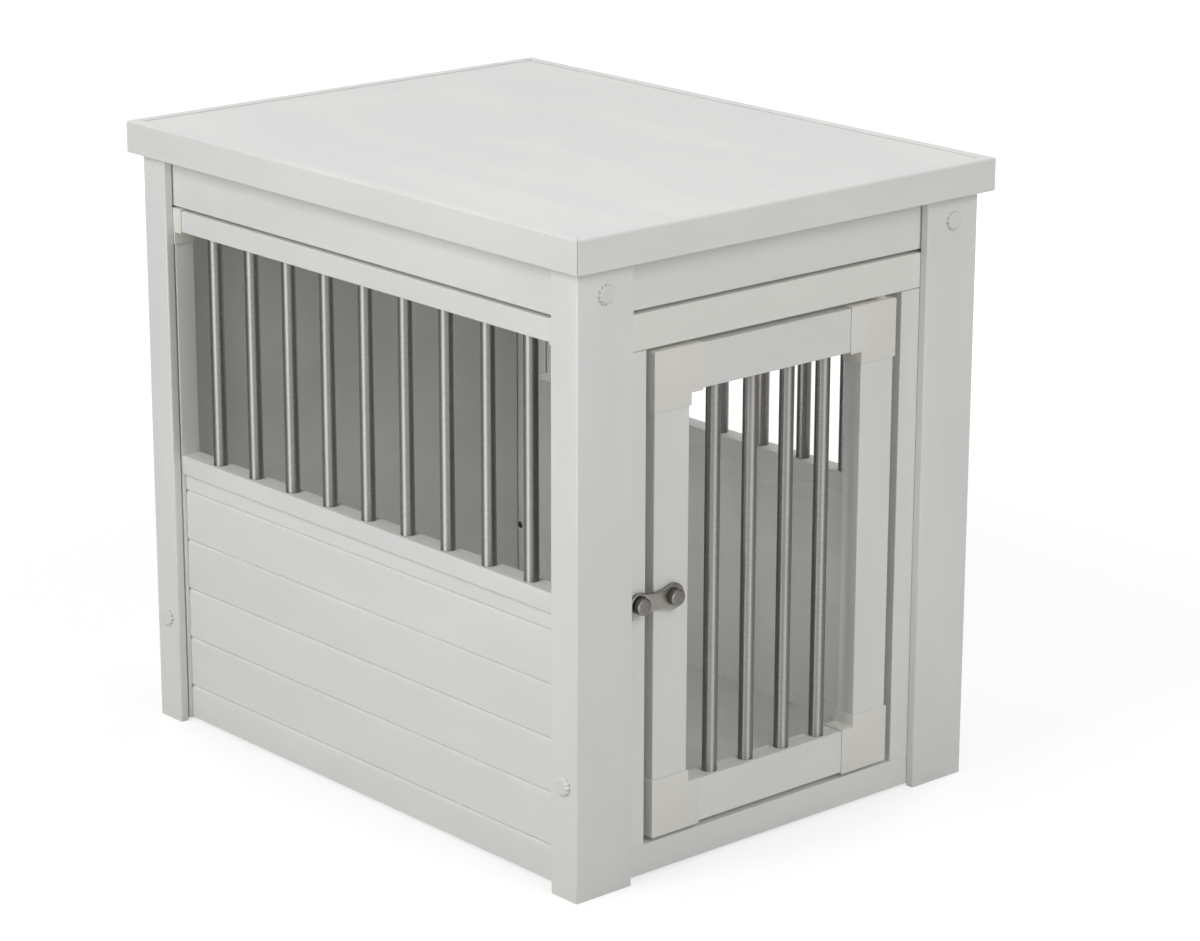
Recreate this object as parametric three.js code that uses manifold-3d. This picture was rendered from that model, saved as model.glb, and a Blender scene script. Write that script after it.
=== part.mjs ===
// A dog crate that serves as an end table: a pet cabin with a hinged front door, windows of upright rods
// in both sides and a framed table top. Millimetres, +Z up. The origin is the middle of the footprint on
// the floor, the door faces -Y and its hinge is on +X.

import * as THREE from 'three';
import { mergeVertices } from 'three/addons/utils/BufferGeometryUtils.js';
import Module from 'manifold-3d';

const wasm = await Module();
wasm.setup();

// ---------------------------------------------------------------- driving dimensions

const TABLE_WIDTH = 470; // outside of the table top, left to right
const TABLE_DEPTH = 610; // outside of the table top, front to back
const TABLE_HEIGHT = 559;

// Table top: four mitred rim boards, rebated to carry the top panel
const RIM_HEIGHT = 29;
const RIM_BOARD_THICKNESS = 18;
const RIM_LIP_WIDTH = 10; // the part of the rim that shows round the panel
const RIM_EDGE_RADIUS = 2.5;
const RIM_OVERHANG_SIDE = 9; // beyond the posts, left and right
const RIM_OVERHANG_END = 11; // beyond the posts, front and back
const TOP_PANEL_THICKNESS = 12;
const TOP_PANEL_RECESS = 1.2; // panel face below the rim's lip
const TOP_PANEL_EDGE_GAP = 0.8; // dark line between panel and lip
const THIN_EDGE_RADIUS = 0.5;

// Corner posts: L-section angles
const POST_FRONT_LEG = 60; // width seen from the front
const POST_SIDE_LEG = 32; // width seen from the side
const POST_LEG_THICKNESS = 8;
const POST_EDGE_RADIUS = 1.5;

// Aprons under the table top
const APRON_DROP = 44; // how far they show below the rim
const APRON_THICKNESS = 12;
const APRON_SETBACK = 1.5; // behind the posts' inner faces

// Wall panels
const PANEL_FLOOR_GAP = 2; // panels end this far above the floor
const PANEL_APRON_GAP = 3; // shadow line under the aprons
const BAR_THICKNESS = 20; // every frame bar, from face to face of its panel
const SLEEVE_WALL = 1.3; // how far a moulded corner stands proud of the bars that it holds

// Side panels: a window of rods above, grooved boards below
const SIDE_TOP_RAIL_HEIGHT = 19.5;
const SIDE_RAIL_TENON = 10; // how far the top rail goes past the stile's edge
const SIDE_SLEEVE_ALONG_RAIL = 9.7; // reach of the sleeve's arms beyond the inner corner
const SIDE_SLEEVE_ALONG_STILE = 11.2;
const LOWER_RAIL_TOP = 255;
const LOWER_RAIL_HEIGHT = 17.5;
const BOARD_THICKNESS = 12;
const BOARD_TONGUE = 6; // how deep the boards sit in rail and stiles
const BOARD_PITCH = 47;
const BOARD_JOINT_COUNT = 5;
const FIRST_BOARD_JOINT = 30.5; // lowest V-groove above the boards' bottom edge
const V_GROOVE_WIDTH = 3.2;
const V_GROOVE_DEPTH = 1.8;

// Spindles: steel rods in blind sockets
const SPINDLE_RADIUS = 6.35;
const SPINDLE_SOCKET_DEPTH = 7;
const SIDE_SPINDLE_COUNT = 9;
const SIDE_SPINDLE_MARGIN = 46.4; // from the end rods' middles to the stiles
const DOOR_SPINDLE_COUNT = 4;
const DOOR_SPINDLE_MARGIN = 35.45;

// Front frame round the door
const FRONT_STILE_SHOWN = 21; // between the doorway and the post's leg
const FRONT_TOP_RAIL_HEIGHT = 30.5;
const FRONT_BOTTOM_RAIL_HEIGHT = 26;

// Door
const DOOR_SIDE_GAP = 7.7; // room that the hinge edge needs to turn
const DOOR_END_GAP = 3.6; // above and below the door
const DOOR_BAR_WIDTH = 38;
const DOOR_SLEEVE_ALONG_RAIL = 12.4;
const DOOR_SLEEVE_ALONG_STILE = 10.4;
const SLEEVE_CORNER_CHAMFER = 1.2;
const HINGE_INSET = 10; // pin axis from the door's hinge edge
const PIN_RADIUS = 4;
const PIN_COLLAR_RADIUS = 5.7;
const PIN_DEPTH = 12; // into the front frame's rail

// Latch: a steel lever on the door hooks over a stud on the frame
const STUD_SPACING = 37;
const STUD_RADIUS = 7.25;
const STUD_PROUD = 5.7; // stud heads beyond the lever
const STUD_CHAMFER = 0.6;
const STUD_SHANK_RADIUS = 4;
const STUD_SHANK_DEPTH = 12;
const PIVOT_COLLAR_RADIUS = 6;
const PIVOT_NECK_RADIUS = 4.5;
const LEVER_THICKNESS = 3;
const LEVER_STANDOFF = 1.2; // lever off the stile's face
const LEVER_PIVOT_LOBE = 11.3; // outer radius round the pivot
const LEVER_WAIST_RADIUS = 42; // concave edges between the lever's ends
const LEVER_FINGER_ANGLE = 12.5; // how far the hook's finger reaches down, degrees about the pivot
const HOOK_WALL = 2.25; // metal round the hook's slot
const HOOK_PLAY = 1; // between the frame stud and the hook's slot

// Back wall and floor
const BACK_WALL_THICKNESS = 5;
const FLOOR_PANEL_THICKNESS = 16;

// Hand-turned bolts with fluted, domed heads
const BOLT_HEAD_RADIUS = 8.5;
const BOLT_HEAD_HEIGHT = 3.5;
const BOLT_DOME = 1.5; // rounded part of the head
const BOLT_FLUTE_DEPTH = 0.8;
const BOLT_FLUTE_COUNT = 12;
const BOLT_SHANK_RADIUS = 4;
const SIDE_BOLT_HEIGHT = 99;

// Shared fits and facets
const FIT_GAP = 0.3; // between pieces that touch
const BAR_EDGE_RADIUS = 1;
const EDGE_STEPS = 3; // facets in a quarter round of an edge
const SPINDLE_SIDES = 20;
const HOLE_SIDES = 16;
const STUD_SIDES = 32;
const LEVER_ARC_STEPS = 12;
const POINTS_PER_FLUTE = 4;

// ---------------------------------------------------------------- derived places

const RIM_BOTTOM = TABLE_HEIGHT - RIM_HEIGHT;
const TOP_PANEL_BOTTOM = TABLE_HEIGHT - TOP_PANEL_RECESS - TOP_PANEL_THICKNESS;
const REBATE_LEDGE = TOP_PANEL_BOTTOM - FIT_GAP;
const RIM_INNER_X = TABLE_WIDTH / 2 - RIM_BOARD_THICKNESS;

const POST_X = TABLE_WIDTH / 2 - RIM_OVERHANG_SIDE; // outer faces of the posts
const POST_Y = TABLE_DEPTH / 2 - RIM_OVERHANG_END;
const LEG_INNER_X = POST_X - POST_LEG_THICKNESS;
const LEG_INNER_Y = POST_Y - POST_LEG_THICKNESS;
const FRONT_LEG_EDGE_X = POST_X - POST_FRONT_LEG; // free edges of the posts' legs
const SIDE_LEG_EDGE_Y = POST_Y - POST_SIDE_LEG;

const APRON_BOTTOM = RIM_BOTTOM - APRON_DROP;
const APRON_OUTER_X = LEG_INNER_X - APRON_SETBACK;
const APRON_OUTER_Y = LEG_INNER_Y - APRON_SETBACK;
const APRON_INNER_Y = APRON_OUTER_Y - APRON_THICKNESS;
const PANEL_TOP = APRON_BOTTOM - PANEL_APRON_GAP;

// side panels, as distances from the crate's middle planes; the sleeves bear on the posts
const SIDE_BAR_OUTER = LEG_INNER_X - FIT_GAP - SLEEVE_WALL;
const SIDE_BAR_INNER = SIDE_BAR_OUTER - BAR_THICKNESS;
const SIDE_BAR_MIDDLE = (SIDE_BAR_OUTER + SIDE_BAR_INNER) / 2;
const SIDE_STILE_INNER_Y = SIDE_LEG_EDGE_Y;
const SIDE_STILE_OUTER_Y = LEG_INNER_Y - FIT_GAP - SLEEVE_WALL;
const SIDE_TOP_RAIL_BOTTOM = PANEL_TOP - SIDE_TOP_RAIL_HEIGHT;
const SIDE_RAIL_END_Y = SIDE_STILE_INNER_Y + SIDE_RAIL_TENON;
const LOWER_RAIL_BOTTOM = LOWER_RAIL_TOP - LOWER_RAIL_HEIGHT;
const BOARD_OUTER = SIDE_BAR_MIDDLE + BOARD_THICKNESS / 2;
const BOARD_INNER = SIDE_BAR_MIDDLE - BOARD_THICKNESS / 2;
const SIDE_SPINDLE_REACH = SIDE_STILE_INNER_Y - SIDE_SPINDLE_MARGIN; // middle of the row to its end rods
const SIDE_BOLT_Y = POST_Y - POST_SIDE_LEG / 2;

// front frame
const FRONT_FACE_Y = -(LEG_INNER_Y - FIT_GAP);
const FRONT_BACK_Y = FRONT_FACE_Y + BAR_THICKNESS;
const FRONT_FRAME_X = SIDE_BAR_INNER - SLEEVE_WALL - FIT_GAP;
const DOORWAY_X = FRONT_LEG_EDGE_X - FRONT_STILE_SHOWN;
const DOORWAY_BOTTOM = PANEL_FLOOR_GAP + FRONT_BOTTOM_RAIL_HEIGHT;
const DOORWAY_TOP = PANEL_TOP - FRONT_TOP_RAIL_HEIGHT;
const BACK_WALL_OUTER_Y = LEG_INNER_Y - FIT_GAP;
const BACK_WALL_INNER_Y = BACK_WALL_OUTER_Y - BACK_WALL_THICKNESS;

// door: its moulded corners set the outline, and the bars lie one sleeve wall inside it
const DOOR_X = DOORWAY_X - DOOR_SIDE_GAP;
const DOOR_BOTTOM = DOORWAY_BOTTOM + DOOR_END_GAP;
const DOOR_TOP = DOORWAY_TOP - DOOR_END_GAP;
const DOOR_BAR_X = DOOR_X - SLEEVE_WALL;
const DOOR_BAR_BOTTOM = DOOR_BOTTOM + SLEEVE_WALL;
const DOOR_BAR_TOP = DOOR_TOP - SLEEVE_WALL;
const DOOR_MIDDLE_Y = (FRONT_FACE_Y + FRONT_BACK_Y) / 2;
const DOOR_ARM_WIDTH = DOOR_BAR_WIDTH + 2 * SLEEVE_WALL;
const DOOR_SPINDLE_REACH = DOOR_BAR_X - DOOR_BAR_WIDTH - DOOR_SPINDLE_MARGIN;
const HINGE_X = DOOR_X - HINGE_INSET;

// latch
const LATCH_HEIGHT = (DOOR_BOTTOM + DOOR_TOP) / 2;
const PIVOT_X = -(DOOR_BAR_X - DOOR_BAR_WIDTH / 2);
const FRAME_STUD_X = PIVOT_X - STUD_SPACING;
const HOOK_SLOT_RADIUS = STUD_RADIUS + HOOK_PLAY;
const HOOK_CROWN_RADIUS = HOOK_SLOT_RADIUS + HOOK_WALL;

// bolts through the posts into the front and back aprons
const APRON_BOLT_X = POST_X - POST_FRONT_LEG / 2;
const APRON_BOLT_HEIGHT = APRON_BOTTOM + APRON_DROP / 2;

// ---------------------------------------------------------------- finishes

const FINISH = {
  white: { color: 0xdcdcd8, roughness: 0.55, metalness: 0 },
  cream: { color: 0xd6d3cc, roughness: 0.5, metalness: 0 },
  steel: { color: 0xa8a6a1, roughness: 0.32, metalness: 1 },
};

// ---------------------------------------------------------------- shape helpers

const crate = new THREE.Group();

function add(name, shape, finish) {
  const geometry = shape instanceof THREE.BufferGeometry ? shape : toGeometry(shape);
  const mesh = new THREE.Mesh(geometry, new THREE.MeshStandardMaterial(FINISH[finish]));
  mesh.name = name;
  crate.add(mesh);
}

// A closed geometry as a solid that can be joined and cut
function toSolid(geometry) {
  const bare = geometry.clone();
  bare.deleteAttribute('normal');
  bare.deleteAttribute('uv');
  const merged = mergeVertices(bare, 1e-4);
  return new wasm.Manifold(new wasm.Mesh({
    numProp: 3,
    vertProperties: merged.attributes.position.array,
    triVerts: new Uint32Array(merged.index.array),
  }));
}

function toGeometry(solid) {
  const mesh = solid.getMesh();
  const geometry = new THREE.BufferGeometry();
  geometry.setAttribute('position', new THREE.BufferAttribute(mesh.vertProperties, 3));
  geometry.setIndex(new THREE.BufferAttribute(mesh.triVerts, 1));
  geometry.computeVertexNormals();
  return geometry;
}

function cut(solid, tools) {
  return tools.reduce((rest, tool) => rest.subtract(tool), solid);
}

function shapeFrom(points) {
  return new THREE.Shape(points.map(([u, v]) => new THREE.Vector2(u, v)));
}

// A prism along an axis. Its outline is drawn at its real place in the two other axes: (Y, Z) for a
// prism along x, (Z, X) for y and (X, Y) for z.
function prism(outline, axis, from, to) {
  const unit = {
    x: new THREE.Vector3(1, 0, 0),
    y: new THREE.Vector3(0, 1, 0),
    z: new THREE.Vector3(0, 0, 1),
  };
  const basis = {
    x: [unit.y, unit.z, unit.x],
    y: [unit.z, unit.x, unit.y],
    z: [unit.x, unit.y, unit.z],
  };
  const geometry = new THREE.ExtrudeGeometry(outline, {
    depth: Math.abs(to - from), bevelEnabled: false, curveSegments: EDGE_STEPS,
  });
  geometry.translate(0, 0, Math.min(from, to));
  return geometry.applyMatrix4(new THREE.Matrix4().makeBasis(...basis[axis]));
}

// A rectangle between two opposite corners, with rounded edges
function rectangle(u0, u1, v0, v1, radius) {
  const [left, right] = [Math.min(u0, u1), Math.max(u0, u1)];
  const [low, high] = [Math.min(v0, v1), Math.max(v0, v1)];
  if (radius === 0) return shapeFrom([[left, low], [right, low], [right, high], [left, high]]);
  const quarter = Math.PI / 2;
  const shape = new THREE.Shape();
  shape.absarc(right - radius, low + radius, radius, -quarter, 0);
  shape.absarc(right - radius, high - radius, radius, 0, quarter);
  shape.absarc(left + radius, high - radius, radius, quarter, 2 * quarter);
  shape.absarc(left + radius, low + radius, radius, 2 * quarter, 3 * quarter);
  return shape;
}

// A straight bar between two opposite corners; the edges along its length are rounded
function bar(axis, [x0, y0, z0], [x1, y1, z1], radius = BAR_EDGE_RADIUS) {
  if (axis === 'x') return prism(rectangle(y0, y1, z0, z1, radius), 'x', x0, x1);
  if (axis === 'y') return prism(rectangle(z0, z1, x0, x1, radius), 'y', y0, y1);
  return prism(rectangle(x0, x1, y0, y1, radius), 'z', z0, z1);
}

function block(corner, opposite) {
  return toSolid(bar('z', corner, opposite, 0));
}

// A round rod, pin or hole along an axis, about its centre
function rod(axis, radius, centre, length, sides = HOLE_SIDES) {
  const geometry = new THREE.CylinderGeometry(radius, radius, length, sides);
  if (axis === 'x') geometry.rotateZ(-Math.PI / 2);
  if (axis === 'z') geometry.rotateX(Math.PI / 2);
  return geometry.translate(...centre);
}

// Places of a row of equal steps from -reach to reach
function evenRow(count, reach) {
  return Array.from({ length: count }, (_, i) => reach * ((2 * i) / (count - 1) - 1));
}

// Outline of a moulded corner: two arms from an outer corner at (0, 0), given by the widths of the
// arms and by how far each reaches beyond the inner corner
function cornerOutline(widthA, widthB, reachA, reachB) {
  const chamfer = SLEEVE_CORNER_CHAMFER;
  const [endA, endB] = [widthA + reachA, widthB + reachB];
  return [[chamfer, 0], [endA, 0], [endA, widthB], [widthA, widthB], [widthA, endB], [0, endB], [0, chamfer]];
}

// ---------------------------------------------------------------- table top

// Section of a rim board: u runs inward from its outer face and v is the height, with a rebate at the
// top for the panel
function rimSection() {
  const corner = RIM_EDGE_RADIUS;
  const soft = THIN_EDGE_RADIUS;
  const shape = new THREE.Shape();
  shape.moveTo(soft, RIM_BOTTOM);
  shape.lineTo(RIM_BOARD_THICKNESS, RIM_BOTTOM);
  shape.lineTo(RIM_BOARD_THICKNESS, REBATE_LEDGE);
  shape.lineTo(RIM_LIP_WIDTH, REBATE_LEDGE);
  shape.lineTo(RIM_LIP_WIDTH, TABLE_HEIGHT - soft);
  shape.lineTo(RIM_LIP_WIDTH - soft, TABLE_HEIGHT);
  shape.absarc(corner, TABLE_HEIGHT - corner, corner, Math.PI / 2, Math.PI);
  shape.lineTo(0, RIM_BOTTOM + soft);
  return shape;
}

// A rim board along X with its outer face at -distance. Its ends are drawn in along the mitre: by as
// much as each point lies in from the outer face.
function rimBoard(length, distance) {
  const geometry = new THREE.ExtrudeGeometry(rimSection(), {
    depth: length, bevelEnabled: false, curveSegments: EDGE_STEPS,
  });
  const place = geometry.attributes.position;
  for (let i = 0; i < place.count; i += 1) {
    const half = length / 2 - place.getX(i) - FIT_GAP / Math.SQRT2;
    place.setZ(i, place.getZ(i) > length / 2 ? half : -half);
  }
  const [inward, up, along] = [
    new THREE.Vector3(0, 1, 0), new THREE.Vector3(0, 0, 1), new THREE.Vector3(1, 0, 0),
  ];
  return geometry
    .applyMatrix4(new THREE.Matrix4().makeBasis(inward, up, along))
    .translate(0, -distance, 0);
}

function addTableTop() {
  const [halfWidth, halfDepth] = [TABLE_WIDTH / 2, TABLE_DEPTH / 2];
  const quarter = Math.PI / 2;
  add('rim_front', rimBoard(TABLE_WIDTH, halfDepth), 'white');
  add('rim_right', rimBoard(TABLE_DEPTH, halfWidth).rotateZ(quarter), 'white');
  add('rim_back', rimBoard(TABLE_WIDTH, halfDepth).rotateZ(2 * quarter), 'white');
  add('rim_left', rimBoard(TABLE_DEPTH, halfWidth).rotateZ(-quarter), 'white');

  const panelX = halfWidth - RIM_LIP_WIDTH - TOP_PANEL_EDGE_GAP;
  const panelY = halfDepth - RIM_LIP_WIDTH - TOP_PANEL_EDGE_GAP;
  add('top_panel', bar('y', [-panelX, -panelY, TOP_PANEL_BOTTOM],
    [panelX, panelY, TABLE_HEIGHT - TOP_PANEL_RECESS], THIN_EDGE_RADIUS), 'white');
}

// ---------------------------------------------------------------- aprons

// Front and back aprons run from rim to rim and the side aprons between them
function addAprons() {
  const top = REBATE_LEDGE;
  const endX = RIM_INNER_X - FIT_GAP;
  for (const [name, side] of [['front', -1], ['back', 1]]) {
    const board = toSolid(bar('x', [-endX, side * APRON_OUTER_Y, APRON_BOTTOM],
      [endX, side * APRON_INNER_Y, top]));
    const boltHoles = [-1, 1].map((end) => toSolid(rod('y', BOLT_SHANK_RADIUS + FIT_GAP,
      [end * APRON_BOLT_X, side * APRON_OUTER_Y, APRON_BOLT_HEIGHT], 3 * APRON_THICKNESS)));
    add(`apron_${name}`, cut(board, boltHoles), 'white');
  }
  const endY = APRON_INNER_Y - FIT_GAP;
  for (const [name, side] of [['left', -1], ['right', 1]]) {
    add(`apron_${name}`, bar('y', [side * APRON_OUTER_X, -endY, APRON_BOTTOM],
      [side * (APRON_OUTER_X - APRON_THICKNESS), endY, top]), 'white');
  }
}

// ---------------------------------------------------------------- corner posts and their bolts

// A bolt along Z: its head stands on z = 0 and its shank goes down from there
function bolt(shankLength) {
  const count = POINTS_PER_FLUTE * BOLT_FLUTE_COUNT;
  const outline = Array.from({ length: count }, (_, i) => {
    const turn = (i / count) * 2 * Math.PI;
    const flute = 0.5 - 0.5 * Math.cos(BOLT_FLUTE_COUNT * turn);
    const radius = BOLT_HEAD_RADIUS - BOLT_FLUTE_DEPTH * flute;
    return [radius * Math.cos(turn), radius * Math.sin(turn)];
  });
  const head = new THREE.ExtrudeGeometry(shapeFrom(outline), {
    depth: BOLT_HEAD_HEIGHT - BOLT_DOME,
    bevelThickness: BOLT_DOME,
    bevelSize: BOLT_DOME,
    bevelOffset: -BOLT_DOME,
    bevelSegments: 2,
  });
  const buried = BOLT_HEAD_HEIGHT / 2; // the shank's end inside the head
  const shank = rod('z', BOLT_SHANK_RADIUS, [0, 0, (buried - shankLength) / 2], shankLength + buried);
  return toSolid(head).add(toSolid(shank));
}

// Section of the post at +X, +Y
function postSection() {
  const r = POST_EDGE_RADIUS;
  const section = new THREE.Shape();
  section.absarc(POST_X - r, POST_Y - r, r, 0, Math.PI / 2);
  section.absarc(FRONT_LEG_EDGE_X + r, POST_Y - r, r, Math.PI / 2, Math.PI);
  section.lineTo(FRONT_LEG_EDGE_X, LEG_INNER_Y);
  section.lineTo(LEG_INNER_X, LEG_INNER_Y);
  section.lineTo(LEG_INNER_X, SIDE_LEG_EDGE_Y);
  section.absarc(POST_X - r, SIDE_LEG_EDGE_Y + r, r, 1.5 * Math.PI, 2 * Math.PI);
  return section.getPoints(EDGE_STEPS).map((point) => [point.x, point.y]);
}

function addPosts() {
  const section = postSection();
  for (const [depthName, sy] of [['front', -1], ['back', 1]]) {
    for (const [sideName, sx] of [['left', -1], ['right', 1]]) {
      const outline = shapeFrom(section.map(([x, y]) => [sx * x, sy * y]));
      const angle = toSolid(prism(outline, 'z', 0, RIM_BOTTOM - FIT_GAP));
      const apronBolt = bolt(POST_Y - APRON_INNER_Y)
        .rotate([-90 * sy, 0, 0])
        .translate([sx * APRON_BOLT_X, sy * POST_Y, APRON_BOLT_HEIGHT]);
      const sideBolt = bolt(POST_X - SIDE_BAR_INNER)
        .rotate([0, 90 * sx, 0])
        .translate([sx * POST_X, sy * SIDE_BOLT_Y, SIDE_BOLT_HEIGHT]);
      add(`post_${depthName}_${sideName}`, angle.add(apronBolt).add(sideBolt), 'white');
    }
  }
}

// ---------------------------------------------------------------- side panels

function sideSpindleSockets(side, z) {
  return evenRow(SIDE_SPINDLE_COUNT, SIDE_SPINDLE_REACH).map((y) => toSolid(rod('z',
    SPINDLE_RADIUS + FIT_GAP, [side * SIDE_BAR_MIDDLE, y, z], 2 * SPINDLE_SOCKET_DEPTH)));
}

// A stile with its moulded corner on top: an L-shaped sleeve that takes the top rail's end
function sideStile(side, end) {
  const [outer, inner] = [side * SIDE_BAR_OUTER, side * SIDE_BAR_INNER];
  const upright = toSolid(bar('z', [outer, end * SIDE_STILE_INNER_Y, PANEL_FLOOR_GAP],
    [inner, end * SIDE_STILE_OUTER_Y, PANEL_TOP]));

  const stileWidth = SIDE_STILE_OUTER_Y - SIDE_STILE_INNER_Y;
  const outline = cornerOutline(stileWidth + 2 * SLEEVE_WALL, SIDE_TOP_RAIL_HEIGHT + 2 * SLEEVE_WALL,
    SIDE_SLEEVE_ALONG_RAIL, SIDE_SLEEVE_ALONG_STILE)
    .map(([a, b]) => [end * (SIDE_STILE_OUTER_Y + SLEEVE_WALL - a), PANEL_TOP + SLEEVE_WALL - b]);
  const corner = toSolid(prism(shapeFrom(outline), 'x', outer + side * SLEEVE_WALL,
    inner - side * SLEEVE_WALL));

  const railSocket = block(
    [outer + side * FIT_GAP, end * (SIDE_RAIL_END_Y + FIT_GAP), SIDE_TOP_RAIL_BOTTOM - FIT_GAP],
    [inner - side * FIT_GAP, end * (SIDE_STILE_INNER_Y - 2 * SIDE_SLEEVE_ALONG_RAIL), PANEL_TOP + FIT_GAP],
  );
  const boardGroove = block(
    [side * (BOARD_OUTER + FIT_GAP), end * (SIDE_STILE_INNER_Y + BOARD_TONGUE + FIT_GAP), 0],
    [side * (BOARD_INNER - FIT_GAP), 0, LOWER_RAIL_BOTTOM + BOARD_TONGUE + FIT_GAP],
  );
  const boltHole = toSolid(rod('x', BOLT_SHANK_RADIUS + FIT_GAP,
    [side * SIDE_BAR_MIDDLE, end * SIDE_BOLT_Y, SIDE_BOLT_HEIGHT], 2 * BAR_THICKNESS));
  return cut(upright.add(corner), [railSocket, boardGroove, boltHole]);
}

function sideTopRail(side) {
  const rail = bar('y', [side * SIDE_BAR_OUTER, -SIDE_RAIL_END_Y, SIDE_TOP_RAIL_BOTTOM],
    [side * SIDE_BAR_INNER, SIDE_RAIL_END_Y, PANEL_TOP]);
  return cut(toSolid(rail), sideSpindleSockets(side, SIDE_TOP_RAIL_BOTTOM));
}

// The lower rail on its boards: the boards have a V-groove at each joint, and tongues in the stiles
function sideLowerPanel(side) {
  const [bottom, top] = [PANEL_FLOOR_GAP, LOWER_RAIL_BOTTOM + BOARD_TONGUE];
  const section = [[bottom, BOARD_INNER], [bottom, BOARD_OUTER]];
  for (let joint = 0; joint < BOARD_JOINT_COUNT; joint += 1) {
    const z = bottom + FIRST_BOARD_JOINT + joint * BOARD_PITCH;
    section.push([z - V_GROOVE_WIDTH / 2, BOARD_OUTER]);
    section.push([z, BOARD_OUTER - V_GROOVE_DEPTH]);
    section.push([z + V_GROOVE_WIDTH / 2, BOARD_OUTER]);
  }
  section.push([top, BOARD_OUTER], [top, BOARD_INNER]);
  const tongueEnd = SIDE_STILE_INNER_Y + BOARD_TONGUE;
  const boards = prism(shapeFrom(section.map(([z, x]) => [z, side * x])), 'y', -tongueEnd, tongueEnd);
  const railEnd = SIDE_STILE_INNER_Y - FIT_GAP;
  const rail = bar('y', [side * SIDE_BAR_OUTER, -railEnd, LOWER_RAIL_BOTTOM],
    [side * SIDE_BAR_INNER, railEnd, LOWER_RAIL_TOP]);
  return cut(toSolid(boards).add(toSolid(rail)), sideSpindleSockets(side, LOWER_RAIL_TOP));
}

function addSidePanel(name, side) {
  add(`${name}_top_rail`, sideTopRail(side), 'white');
  add(`${name}_stile_front`, sideStile(side, -1), 'white');
  add(`${name}_stile_back`, sideStile(side, 1), 'white');
  add(`${name}_lower_panel`, sideLowerPanel(side), 'white');
  const bottom = LOWER_RAIL_TOP - SPINDLE_SOCKET_DEPTH + FIT_GAP;
  const top = SIDE_TOP_RAIL_BOTTOM + SPINDLE_SOCKET_DEPTH - FIT_GAP;
  evenRow(SIDE_SPINDLE_COUNT, SIDE_SPINDLE_REACH).forEach((y, i) => {
    add(`${name}_spindle_${i + 1}`, rod('z', SPINDLE_RADIUS,
      [side * SIDE_BAR_MIDDLE, y, (bottom + top) / 2], top - bottom, SPINDLE_SIDES), 'steel');
  });
}

// ---------------------------------------------------------------- front frame, back wall and floor

function studHole(x) {
  return toSolid(rod('y', STUD_SHANK_RADIUS + FIT_GAP, [x, FRONT_FACE_Y, LATCH_HEIGHT],
    2 * (STUD_SHANK_DEPTH + FIT_GAP)));
}

function addFrontFrame() {
  const [front, back] = [FRONT_FACE_Y, FRONT_BACK_Y];
  const pinHole = (z) => toSolid(rod('z', PIN_RADIUS + FIT_GAP, [HINGE_X, DOOR_MIDDLE_Y, z],
    2 * (PIN_DEPTH + FIT_GAP)));
  const topRail = bar('x', [-FRONT_FRAME_X, front, DOORWAY_TOP], [FRONT_FRAME_X, back, PANEL_TOP]);
  add('front_top_rail', cut(toSolid(topRail), [pinHole(DOORWAY_TOP)]), 'white');
  const bottomRail = bar('x', [-FRONT_FRAME_X, front, PANEL_FLOOR_GAP],
    [FRONT_FRAME_X, back, DOORWAY_BOTTOM]);
  add('front_bottom_rail', cut(toSolid(bottomRail), [pinHole(DOORWAY_BOTTOM)]), 'white');

  const stile = (side) => bar('z', [side * DOORWAY_X, front, DOORWAY_BOTTOM + FIT_GAP],
    [side * FRONT_FRAME_X, back, DOORWAY_TOP - FIT_GAP]);
  add('front_stile_left', cut(toSolid(stile(-1)), [studHole(FRAME_STUD_X)]), 'white');
  add('front_stile_right', stile(1), 'white');
}

// The wall stands between the rear stiles; the floor lies between boards and frames, notched round
// the four stiles
function addBackWallAndFloor() {
  add('back_wall', bar('x', [-FRONT_FRAME_X, BACK_WALL_INNER_Y, PANEL_FLOOR_GAP],
    [FRONT_FRAME_X, BACK_WALL_OUTER_Y, PANEL_TOP], THIN_EDGE_RADIUS), 'white');

  const [boardX, stileX] = [BOARD_INNER - FIT_GAP, SIDE_BAR_INNER - FIT_GAP];
  const [frontY, backY] = [FRONT_BACK_Y + FIT_GAP, BACK_WALL_INNER_Y - FIT_GAP];
  const notchY = SIDE_STILE_INNER_Y - FIT_GAP;
  const half = [[stileX, frontY], [stileX, -notchY], [boardX, -notchY], [boardX, notchY],
    [stileX, notchY], [stileX, backY]];
  const outline = [...half, ...half.map(([x, y]) => [-x, y]).reverse()];
  add('floor_panel', prism(shapeFrom(outline), 'z', PANEL_FLOOR_GAP,
    PANEL_FLOOR_GAP + FLOOR_PANEL_THICKNESS), 'white');
}

// ---------------------------------------------------------------- door

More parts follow.
